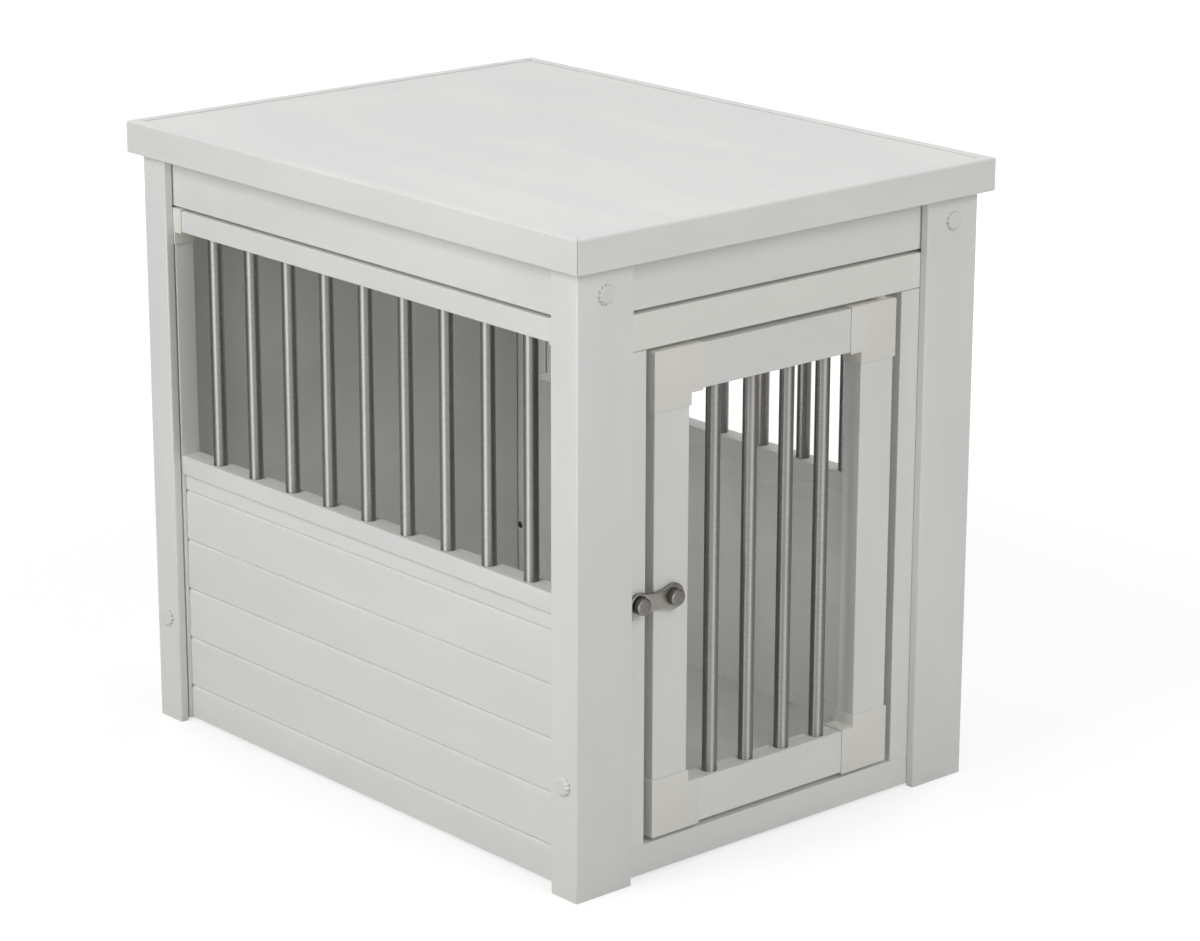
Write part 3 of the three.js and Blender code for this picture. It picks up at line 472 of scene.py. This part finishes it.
def moulded_plastic(name, cream):
    """Matt cream plastic with the fine grain of a spark-eroded mould."""
    made, skin, surface, place = new_material(name)
    mould_grain = noise(skin, place, MOULD_GRAIN, detail=2.0)
    flow = noise(skin, place, MOULD_FLOW, detail=2.0)
    tone = blend(skin, remap(skin, flow, *FLOW_RANGE, 0.0, PALE_SHARE), cream, PLASTIC_PALE)
    skin.links.new(tone, surface.inputs["Base Color"])
    sheen = remap(skin, flow, *FLOW_RANGE, *PLASTIC_ROUGHNESS)
    skin.links.new(sheen, surface.inputs["Roughness"])
    relief = shader_node(skin, "Bump", {
        "Height": mould_grain, "Strength": MOULD_STRENGTH, "Distance": MOULD_RELIEF})
    skin.links.new(relief.outputs[0], surface.inputs["Normal"])
    surface.inputs["Specular IOR Level"].default_value = PLASTIC_SPECULAR
    return made


cream_plastic = moulded_plastic("moulded_cream_plastic", PLASTIC_CREAM)
bolt_plastic = moulded_plastic("moulded_bolt_plastic", PLASTIC_BOLT)


def facing(direction, place):
    """Puts what is made along +Z at a place, facing along a direction."""
    turn = Vector((0.0, 0.0, 1.0)).rotation_difference(Vector(direction)).to_matrix().to_4x4()
    return Matrix.Translation(place) @ turn


def rings_to_mesh(rings):
    """A skin through rings of points of equal count, closed at both ends."""
    mesh = bmesh.new()
    made = [[mesh.verts.new(point) for point in ring] for ring in rings]
    for below, above in zip(made, made[1:]):
        for index in range(len(below)):
            after = (index + 1) % len(below)
            mesh.faces.new((below[index], below[after], above[after], above[index]))
    mesh.faces.new(made[0][::-1])
    mesh.faces.new(made[-1])
    bmesh.ops.recalc_face_normals(mesh, faces=mesh.faces)
    return mesh


def bolt_head():
    """A domed head with flutes round its rim and a shallow dish in the middle."""
    points = 8 * BOLT_FLUTES
    rings = []
    for radius, height in BOLT_PROFILE:
        rim_share = max(0.0, (radius / BOLT_RADIUS - 0.5) * 2) ** 1.5
        ring = []
        for index in range(points):
            turn = 2 * math.pi * index / points
            flute = (0.5 - 0.5 * math.cos(BOLT_FLUTES * turn)) ** FLUTE_SHAPE
            reach = radius - FLUTE_DEPTH * flute * rim_share
            ring.append((reach * math.cos(turn), reach * math.sin(turn), height))
        rings.append(ring)
    return rings_to_mesh(rings)


def turned(profile, sides=64):
    """A turned piece along Z from (radius, height) steps, with flat ends."""
    turns = [2 * math.pi * index / sides for index in range(sides)]
    return rings_to_mesh([
        [(radius * math.cos(turn), radius * math.sin(turn), height) for turn in turns]
        for radius, height in profile
    ])


STEEL_MARKS = {  # marks to the metre on each axis, and roughness from their dull to bright parts
    "rod": ((140.0, 140.0, 1700.0), (0.44, 0.58)),
    "along_x": ((120.0, 2400.0, 2400.0), (0.26, 0.42)),
    "peened": ((850.0, 850.0, 850.0), (0.34, 0.5)),
}
STEEL_DRIFT = (35.0, 35.0, 9.0)
TONE_RANGE = (0.3, 0.75)
DRIFT_RANGE = (0.35, 0.7)
SHEEN_RANGE = (0.25, 0.75)
SMUDGE_SHARE = 0.35
# Painted highlight: off the rods, the base colour is made lighter along sharp edges, over this
# width and in this share.
STEEL_EDGE = 0.0009
STEEL_EDGE_HIGHLIGHT = (0.66, 0.64, 0.60, 1.0)
STEEL_HIGHLIGHT_SHARE = 0.8
STEEL_RELIEF = 0.00004
STEEL_STRENGTH = 0.25
ROD_STRETCH = 0.9  # how far the marks draw out what a rod mirrors
ROD_STRETCH_TURN = 0.25  # a quarter turn: along the rod


def brushed_steel(name, bright, dull, kind):
    """Satin steel. Its marks run round an upright rod or along x, or are a peened speckle. Off the
    rods, its sharp edges get a painted highlight.
    """
    made, skin, surface, place = new_material(name)
    stretch, roughness = STEEL_MARKS[kind]
    marks = noise(skin, place, stretch, detail=3.0, roughness=0.7)
    drift = noise(skin, place, STEEL_DRIFT, detail=2.0)
    tone = blend(skin, remap(skin, marks, *TONE_RANGE), dull, bright)
    tone = blend(skin, remap(skin, drift, *DRIFT_RANGE, 0.0, SMUDGE_SHARE), tone, dull)
    # Painted highlight: the sharp edges of everything but the rods are made lighter in the base
    # colour.
    if kind != "rod":
        painted_glint = remap(skin, edge_share(skin, STEEL_EDGE), 0.0, 1.0, 0.0, STEEL_HIGHLIGHT_SHARE)
        tone = blend(skin, painted_glint, tone, STEEL_EDGE_HIGHLIGHT)
    skin.links.new(tone, surface.inputs["Base Color"])
    sheen = remap(skin, marks, *SHEEN_RANGE, *roughness)
    skin.links.new(sheen, surface.inputs["Roughness"])
    relief = shader_node(skin, "Bump", {
        "Height": marks, "Strength": STEEL_STRENGTH, "Distance": STEEL_RELIEF})
    skin.links.new(relief.outputs[0], surface.inputs["Normal"])
    surface.inputs["Metallic"].default_value = 1.0
    if kind == "rod":
        round_axis = shader_node(skin, "Tangent", direction_type="RADIAL", axis="Z")
        skin.links.new(round_axis.outputs[0], surface.inputs["Tangent"])
        surface.inputs["Anisotropic"].default_value = ROD_STRETCH
        surface.inputs["Anisotropic Rotation"].default_value = ROD_STRETCH_TURN
    return made


STUD_BRIGHT = (0.31, 0.296, 0.275, 1.0)
STUD_DULL = (0.11, 0.105, 0.097, 1.0)
stud_steel = brushed_steel("peened_stud_steel", STUD_BRIGHT, STUD_DULL, "peened")

for corner_name, sx, sy in CORNERS:
    head = bolt_head()
    head.transform(facing((0, sy, 0), (sx * APRON_BOLT_X, sy * POST_Y, APRON_BOLT_Z)))
    piece(f"bolt_apron_{corner_name}", head, bolt_plastic, "cream_plastic", "frame")
    head = bolt_head()
    head.transform(facing((sx, 0, 0), (sx * POST_X, sy * SIDE_BOLT_Y, SIDE_BOLT_Z)))
    piece(f"bolt_side_{corner_name}", head, bolt_plastic, "cream_plastic", "frame")

    on_apron = facing((0, -sy, 0), (sx * APRON_BOLT_X, sy * APRON_INNER_Y, APRON_BOLT_Z))
    on_stile = facing((-sx, 0, 0), (sx * STILE_INNER_X, sy * SIDE_BOLT_Y, SIDE_BOLT_Z))
    for matrix, where in ((on_apron, "apron"), (on_stile, "side")):
        ring = turned(RING_PROFILE)
        ring.transform(matrix)
        piece(f"insert_{where}_{corner_name}", ring, cream_plastic, "cream_plastic", "frame")
        bolt_end = turned(BOLT_END_PROFILE)
        bolt_end.transform(matrix)
        piece(f"bolt_end_{where}_{corner_name}", bolt_end, stud_steel, "brushed_steel", "frame")

# ---------------------------------------------------------------- side panels
# Each side is a frame of square bars in moulded corners, bolted behind the posts' side legs, with a
# window of rods above and boards below. The rods stand in blind sockets. The boards are joined by
# tongue and groove, and a chamfered V marks each joint outside.
BAR_OUTER = 216.4
BAR_INNER = 196.4
BAR_EDGE = 1.0
BAR_END_EDGE = 0.4
BOARD_OUTER = 212.4
BOARD_INNER = 200.4
PANEL_BOTTOM = 2.0
PANEL_TOP = 483.0
STILE_IN = 262.0
STILE_OUT = 284.4
BOLT_HOLE_RADIUS = 4.3
SLEEVE_WALL = 1.3
SLEEVE_HEEL = 1.4  # the radius of a sleeve's outer corner
SLEEVE_CROOK = 0.3  # and of the inner one
SLEEVE_EDGE = 0.45
SLEEVE_END_EDGE = 0.5
SLEEVE_REACHES = (9.7, 11.2)
FIT = 0.3
LOWER_RAIL = (237.5, 255.0)
LOWER_RAIL_END_EDGE = 0.3
RAIL_TOP_HEIGHT = 19.5
SIDE_RODS = 9
ROD_RADIUS = 6.35
ROD_EDGE = 0.4
SOCKET_DEPTH = 7.0
THROUGH = 30.0  # half the length of a cutter that goes right through
BOARD_PITCH = 47.0
FIRST_JOINT = 32.5
BOARD_EDGE = 0.4
BOARD_INNER_EDGE = 0.2
JOINT_GAP = 0.02  # what each board stops short of the joint
GROOVE_HALF = 2.3  # half the width of the V at each joint
GROOVE_DEPTH = 1.5
GROOVE_EASE = 1.6
BOARDS = 6
STILE_TONGUE = 6.0  # how far the boards run into the stiles
TONGUE_FACES = (BOARD_INNER + 4.0, BOARD_INNER + 7.0)
TONGUE_RISE = 3.5
TONGUE_ROOM = 3.8
TONGUE_SLACK = 0.1
ROD_BRIGHT = (0.42, 0.412, 0.395, 1.0)
ROD_DULL = (0.27, 0.262, 0.248, 1.0)


def carved(mesh, *cutters):
    """The mesh less the cutters, all in millimetres."""
    objects = []
    for index, source in enumerate((mesh, *cutters)):
        data = bpy.data.meshes.new(f"carving_{index}")
        source.to_mesh(data)
        source.free()
        made = bpy.data.objects.new(f"carving_{index}", data)
        scene.collection.objects.link(made)
        objects.append(made)
    for cutter in objects[1:]:
        cut = objects[0].modifiers.new("cut", "BOOLEAN")
        cut.object = cutter
        cut.operation = "DIFFERENCE"
        cut.solver = "EXACT"
    result = bmesh.new()
    depsgraph = bpy.context.evaluated_depsgraph_get()
    result.from_object(objects[0], depsgraph)
    for made in objects:
        data = made.data
        bpy.data.objects.remove(made)
        bpy.data.meshes.remove(data)
    return result


def merged(meshes):
    """Several meshes as one."""
    whole = bmesh.new()
    for mesh in meshes:
        data = bpy.data.meshes.new("merging")
        mesh.to_mesh(data)
        mesh.free()
        whole.from_mesh(data)
        bpy.data.meshes.remove(data)
    return whole


def moulded_corner(seat, signs, arms, reaches, low, high, place):
    """An L-shaped moulding with a socket for a bar's end in each arm, round a solid heel. seat is
    its outer corner in the view's plane, and signs point from there to the outside."""
    (seat_u, seat_v), (su, sv) = seat, signs
    (arm_u, arm_v), (reach_u, reach_v) = arms, reaches

    def at(a, b):
        return (seat_u - su * a, seat_v - sv * b)

    outline = [(0, 0, SLEEVE_HEEL), (arm_u + reach_u, 0), (arm_u + reach_u, arm_v),
               (arm_u, arm_v, SLEEVE_CROOK), (arm_u, arm_v + reach_v), (0, arm_v + reach_v)]
    corners = eased([(*at(a, b), *own) for a, b, *own in outline], SLEEVE_EDGE, steps=3)
    body = drawn_out(corners, low, high, place, end_edge=SLEEVE_END_EDGE)
    wall = SLEEVE_WALL - FIT

    def socket(a0, a1, b0, b1):
        (u0, v0), (u1, v1) = at(a0, b0), at(a1, b1)
        return drawn_out([(u0, v0), (u1, v0), (u1, v1), (u0, v1)], low + wall, high - wall, place)

    return carved(
        body,
        socket(arm_u, arm_u + 2 * reach_u, wall, arm_v - wall),
        socket(wall, arm_u - wall, arm_v, arm_v + 2 * reach_v),
    )


rod_steel = brushed_steel("brushed_rod_steel", ROD_BRIGHT, ROD_DULL, "rod")


def rod(node_name, piece_name, body):
    """A steel rod in the place of its solid, with its ends' edges broken."""
    low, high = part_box(node_name)
    half = (high[2] - low[2]) / 2 / MM
    mesh = turned([(ROD_RADIUS - ROD_EDGE, -half), (ROD_RADIUS, -half + ROD_EDGE),
                   (ROD_RADIUS, half - ROD_EDGE), (ROD_RADIUS - ROD_EDGE, half)])
    mesh.transform(Matrix.Translation([c / MM for c in (low + high) / 2]))
    piece(piece_name, mesh, rod_steel, "brushed_steel", body, node_name)


def board_section(bottom, top, lowest):
    """A board of the right side in (x, z): half a V at each joint, a tongue above and, except on
    the lowest board, a groove below."""
    low, high = bottom + JOINT_GAP, top - JOINT_GAP
    tongue_in, tongue_out = TONGUE_FACES
    if lowest:
        outline = [(BOARD_OUTER, low, BOARD_EDGE)]
    else:
        outline = [(BOARD_OUTER - GROOVE_DEPTH, low, 0),
                   (BOARD_OUTER, bottom + GROOVE_HALF, GROOVE_EASE)]
    outline += [
        (BOARD_OUTER, top - GROOVE_HALF, GROOVE_EASE), (BOARD_OUTER - GROOVE_DEPTH, high, 0),
        (tongue_out, high, 0), (tongue_out, top + TONGUE_RISE, 0),
        (tongue_in, top + TONGUE_RISE, 0), (tongue_in, high, 0),
        (BOARD_INNER, high, BOARD_INNER_EDGE), (BOARD_INNER, low, BOARD_INNER_EDGE),
    ]
    if not lowest:
        room_in, room_out = tongue_in - TONGUE_SLACK, tongue_out + TONGUE_SLACK
        outline += [(room_in, low, 0), (room_in, bottom + TONGUE_ROOM, 0),
                    (room_out, bottom + TONGUE_ROOM, 0), (room_out, low, 0)]
    return outline


for side_name, sx in (("left", -1), ("right", 1)):
    outer, inner = sorted((sx * BAR_OUTER, sx * BAR_INNER))
    dress(grain_along_y, f"{side_name}_top_rail")

    for end_name, sy in (("front", -1), ("back", 1)):
        node_name = f"{side_name}_stile_{end_name}"
        section = [(sx * BAR_OUTER, sy * STILE_IN), (sx * BAR_OUTER, sy * STILE_OUT),
                   (sx * BAR_INNER, sy * STILE_OUT), (sx * BAR_INNER, sy * STILE_IN)]
        upright = drawn_out(eased(section, BAR_EDGE), PANEL_BOTTOM, PANEL_TOP, in_plan,
                            end_edge=BAR_END_EDGE)
        groove = box_mesh(
            (sx * (BOARD_INNER - FIT), 0.0, -THROUGH),
            (sx * (BOARD_OUTER + FIT), sy * (STILE_IN + STILE_TONGUE + FIT),
             LOWER_RAIL[0] + STILE_TONGUE + FIT))
        bolt_hole = turned([(BOLT_HOLE_RADIUS, -THROUGH), (BOLT_HOLE_RADIUS, THROUGH)], sides=24)
        hole_place = (sx * (BAR_INNER + BAR_OUTER) / 2, sy * SIDE_BOLT_Y, SIDE_BOLT_Z)
        bolt_hole.transform(facing((1, 0, 0), hole_place))
        piece(f"upright_{side_name}_{end_name}", carved(upright, groove, bolt_hole), grain_upright,
              "white_composite", "frame", node_name)
        corner = moulded_corner(
            (sy * (STILE_OUT + SLEEVE_WALL), PANEL_TOP + SLEEVE_WALL), (sy, 1),
            (STILE_OUT - STILE_IN + 2 * SLEEVE_WALL, RAIL_TOP_HEIGHT + 2 * SLEEVE_WALL),
            SLEEVE_REACHES, outer - SLEEVE_WALL, inner + SLEEVE_WALL, in_side_view)
        piece(f"corner_{side_name}_{end_name}", corner, cream_plastic, "cream_plastic", "frame",
              node_name)

    panel = f"{side_name}_lower_panel"
    rail_low, rail_high = LOWER_RAIL
    rail_end = STILE_IN - FIT
    section = [(outer, rail_low), (inner, rail_low), (inner, rail_high), (outer, rail_high)]
    rail = drawn_out(eased(section, BAR_EDGE), -rail_end, rail_end, in_front_view,
                     end_edge=LOWER_RAIL_END_EDGE)
    sockets = []
    for number in range(1, SIDE_RODS + 1):
        node_name = f"{side_name}_spindle_{number}"
        low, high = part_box(node_name)
        rod_place = ((low[0] + high[0]) / 2 / MM, (low[1] + high[1]) / 2 / MM, rail_high)
        hole = turned([(ROD_RADIUS + FIT, -SOCKET_DEPTH), (ROD_RADIUS + FIT, SOCKET_DEPTH)])
        hole.transform(Matrix.Translation(rod_place))
        sockets.append(hole)
        rod(node_name, f"{side_name}_rod_{number}", "frame")
    piece(f"{side_name}_lower_rail", carved(rail, merged(sockets)), grain_along_y,
          "white_composite", "frame", panel)

    seams = [FIRST_JOINT + BOARD_PITCH * number for number in range(BOARDS - 1)]
    joints = [PANEL_BOTTOM, *seams, rail_low]
    board_end = STILE_IN + STILE_TONGUE
    for index, (bottom, top) in enumerate(zip(joints, joints[1:])):
        section = [(sx * x, z, *own) for x, z, *own in board_section(bottom, top, index == 0)]
        outline = eased(section, BOARD_EDGE, steps=6)
        board = drawn_out(outline, -board_end, board_end, in_front_view)
        piece(f"{side_name}_board_{index + 1}", board, grain_along_y, "white_composite", "frame",
              panel)

# ---------------------------------------------------------------- front frame, back wall and floor
# Four flat bars frame the doorway behind the posts' front legs; the top one is of a slightly warmer
# batch. A thin sheet closes the back between the rear stiles, with a moulded edging pushed over its
# upper edge, and a thicker sheet lies as the floor.
EDGING_WALL = 1.2
EDGING_RISE = 2.6
EDGING_DROP = 7.0
EDGING_SLACK = 0.1
EDGING_EDGE = 0.45
EDGING_MOUTH = 0.3
EDGING_SHORT = 1.0
RAIL_WARM = (0.800, 0.805, 0.755, 1.0)
RAIL_WARM_COOL = (0.775, 0.780, 0.735, 1.0)

warm_batch = composite("composite_grain_x_warm", 0, RAIL_WARM, RAIL_WARM_COOL)
dress(grain_along_x, "front_bottom_rail", "back_wall")
dress(warm_batch, "front_top_rail")
dress(grain_upright, "front_stile_left", "front_stile_right")
dress(grain_along_y, "floor_panel")

sheet_low, sheet_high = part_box("back_wall")
sheet_front, sheet_back = sheet_low[1] / MM, sheet_high[1] / MM
sheet_top = sheet_high[2] / MM
edging_front, edging_back = sheet_front - EDGING_WALL, sheet_back + EDGING_WALL
edging_foot, edging_top = sheet_top - EDGING_DROP, sheet_top + EDGING_RISE
slot_front, slot_back = sheet_front - EDGING_SLACK, sheet_back + EDGING_SLACK
slot_top = sheet_top + EDGING_SLACK
section = [(edging_front, edging_foot), (edging_front, edging_top),
           (edging_back, edging_top), (edging_back, edging_foot),
           (slot_back, edging_foot, EDGING_MOUTH), (slot_back, slot_top, 0),
           (slot_front, slot_top, 0), (slot_front, edging_foot, EDGING_MOUTH)]
edging = drawn_out(eased(section, EDGING_EDGE, steps=3), sheet_low[0] / MM + EDGING_SHORT,
                   sheet_high[0] / MM - EDGING_SHORT, in_side_view)
piece("back_edging", edging, cream_plastic, "cream_plastic", "frame")

# ---------------------------------------------------------------- door
# A light frame of square bars in four moulded corners, with four rods. Its right corners carry the
# pins on which it turns in the front frame's rails.
DOOR_X = 137.3
DOOR_BOTTOM = 31.6
DOOR_TOP = 448.9
DOOR_FACES = (-287.0, -264.4)
DOOR_ARM = 40.6
DOOR_REACHES = (12.4, 10.4)
DOOR_RODS = 4
HINGE_X = 127.3
HINGE_Y = -275.7
PIN_PROFILE = [  # a collar that rides on the rail, and the pin in the rail's hole
    (5.7, -0.8), (5.7, 3.0), (5.4, 3.3), (4.0, 3.3), (4.0, 15.0), (3.4, 15.6),
]

dress(grain_along_x, "door_top_rail", "door_bottom_rail")
dress(grain_upright, "door_latch_stile", "door_hinge_stile")

for height_name, seat_z, sz in (("top", DOOR_TOP, 1), ("bottom", DOOR_BOTTOM, -1)):
    for side_name, sx in (("left", -1), ("right", 1)):
        node_name = f"door_corner_{height_name}_{side_name}"
        corner = moulded_corner((sx * DOOR_X, seat_z), (sx, sz), (DOOR_ARM, DOOR_ARM),
                                DOOR_REACHES, *DOOR_FACES, in_front_view)
        piece(f"moulding_{height_name}_{side_name}", corner, cream_plastic, "cream_plastic",
              "door", node_name)
    pin = turned(PIN_PROFILE, sides=48)
    pin.transform(facing((0, 0, sz), (HINGE_X, HINGE_Y, seat_z)))
    piece(f"hinge_pin_{height_name}", pin, cream_plastic, "cream_plastic", "door")

for number in range(1, DOOR_RODS + 1):
    rod(f"door_spindle_{number}", f"door_rod_{number}", "door")

# ---------------------------------------------------------------- latch
# A lever of 3 mm steel turns on a headed stud in the door and hooks over a plain stud in the frame.
# The plate is blanked and brushed lengthwise. The studs are turned and their domed faces peened.
LATCH_Z = 240.25
PIVOT_X = -117.0
STUD_STEP = 37.0
STUD_RADIUS = 7.25
STUD_HEAD = [  # a stud's domed face, from its rim to its middle
    (STUD_RADIUS, 9.2), (STUD_RADIUS - 0.12, 9.6), (STUD_RADIUS - 0.45, 9.95),
    (STUD_RADIUS - 1.0, 10.1), (4.0, 10.17), (1.5, 10.2),
]
STUD_SHANK = [(4.0, -12.0), (4.0, 0.3)]
PIVOT_NECK = [(6.0, 0.3), (6.0, 0.9), (4.5, 0.9), (4.5, 4.5), (STUD_RADIUS - 0.3, 4.5),
              (STUD_RADIUS, 4.8)]
FRAME_NECK = [(STUD_RADIUS - 0.3, 0.3), (STUD_RADIUS, 0.6)]
FACE_Y = -285.7
LEVER_FACES = (-289.9, -286.9)
LEVER_MIDDLE = -288.4
LEVER_EDGE = 0.7
PIVOT_HOLE = 4.8
LOBE = 11.3
CROWN = 10.5
SLOT = 8.25
WAIST = 42.0
FINGER_ANGLE = 12.5
LATCH_BRIGHT = (0.33, 0.312, 0.285, 1.0)
LATCH_DULL = (0.20, 0.188, 0.17, 1.0)

latch_steel = brushed_steel("brushed_latch_steel", LATCH_BRIGHT, LATCH_DULL, "along_x")


def arc(centre, radius, start, end, steps):
    """Points on a circle from one angle to another, without the last."""
    angles = [start + (end - start) * index / steps for index in range(steps)]
    return [(centre[0] + radius * math.cos(angle), centre[1] + radius * math.sin(angle))
            for angle in angles]


def lever_outline():
    """The plate about its pivot: a hook to the left, with its slot concentric with the pivot."""
    to_lobe, to_crown = WAIST + LOBE, WAIST + CROWN
    waist_x = (to_crown ** 2 - to_lobe ** 2 - STUD_STEP ** 2) / (2 * STUD_STEP)
    waist_z = math.sqrt(to_lobe ** 2 - waist_x ** 2)
    lean = math.atan2(waist_z, waist_x)
    finger = math.pi + math.radians(FINGER_ANGLE)
    side, far = STUD_STEP - SLOT, math.hypot(waist_x, waist_z)
    spread = math.acos((side ** 2 + far ** 2 - WAIST ** 2) / (2 * side * far))
    heel = 2 * math.pi - lean - spread
    heel_start = math.atan2(side * math.sin(heel) + waist_z, side * math.cos(heel) - waist_x)
    tip = STUD_STEP + (SLOT + CROWN) / 2
    tip_centre = (tip * math.cos(finger), tip * math.sin(finger))
    crown_start = math.atan2(waist_z, waist_x + STUD_STEP)
    waist_end = math.atan2(-waist_z, -STUD_STEP - waist_x)
    if heel_start < 0:
        heel_start += 2 * math.pi
    outline = arc((0, 0), LOBE, -lean, lean, 40)
    outline += arc((waist_x, waist_z), WAIST, lean - math.pi, waist_end, 16)
    outline += arc((-STUD_STEP, 0), CROWN, crown_start, math.pi, 24)
    outline += arc((0, 0), STUD_STEP + CROWN, math.pi, finger, 8)
    outline += arc(tip_centre, (CROWN - SLOT) / 2, finger, finger + math.pi, 8)
    outline += arc((0, 0), STUD_STEP + SLOT, finger, math.pi, 8)
    outline += arc((-STUD_STEP, 0), SLOT, math.pi, 0, 28)
    outline += arc((0, 0), side, math.pi, heel, 6)
    outline += arc((waist_x, -waist_z), WAIST, heel_start, math.pi - lean, 14)
    return outline


lever_points = [(PIVOT_X + x, LATCH_Z + z) for x, z in lever_outline()]
lever_plate = drawn_out(lever_points, *LEVER_FACES, in_front_view, end_edge=LEVER_EDGE)
pivot_hole = turned([(PIVOT_HOLE, -THROUGH), (PIVOT_HOLE, THROUGH)])
pivot_hole.transform(facing((0, 1, 0), (PIVOT_X, LEVER_MIDDLE, LATCH_Z)))
piece("latch_plate", carved(lever_plate, pivot_hole), latch_steel, "brushed_steel", "latch",
      "latch_lever")

pivot_stud = turned(STUD_SHANK + PIVOT_NECK + STUD_HEAD)
pivot_stud.transform(facing((0, -1, 0), (PIVOT_X, FACE_Y, LATCH_Z)))
piece("pivot_stud", pivot_stud, stud_steel, "brushed_steel", "door", "latch_pivot_stud")
frame_stud = turned(STUD_SHANK + FRAME_NECK + STUD_HEAD)
frame_stud.transform(facing((0, -1, 0), (PIVOT_X - STUD_STEP, FACE_Y, LATCH_Z)))
piece("frame_stud", frame_stud, stud_steel, "brushed_steel", "frame", "latch_frame_stud")
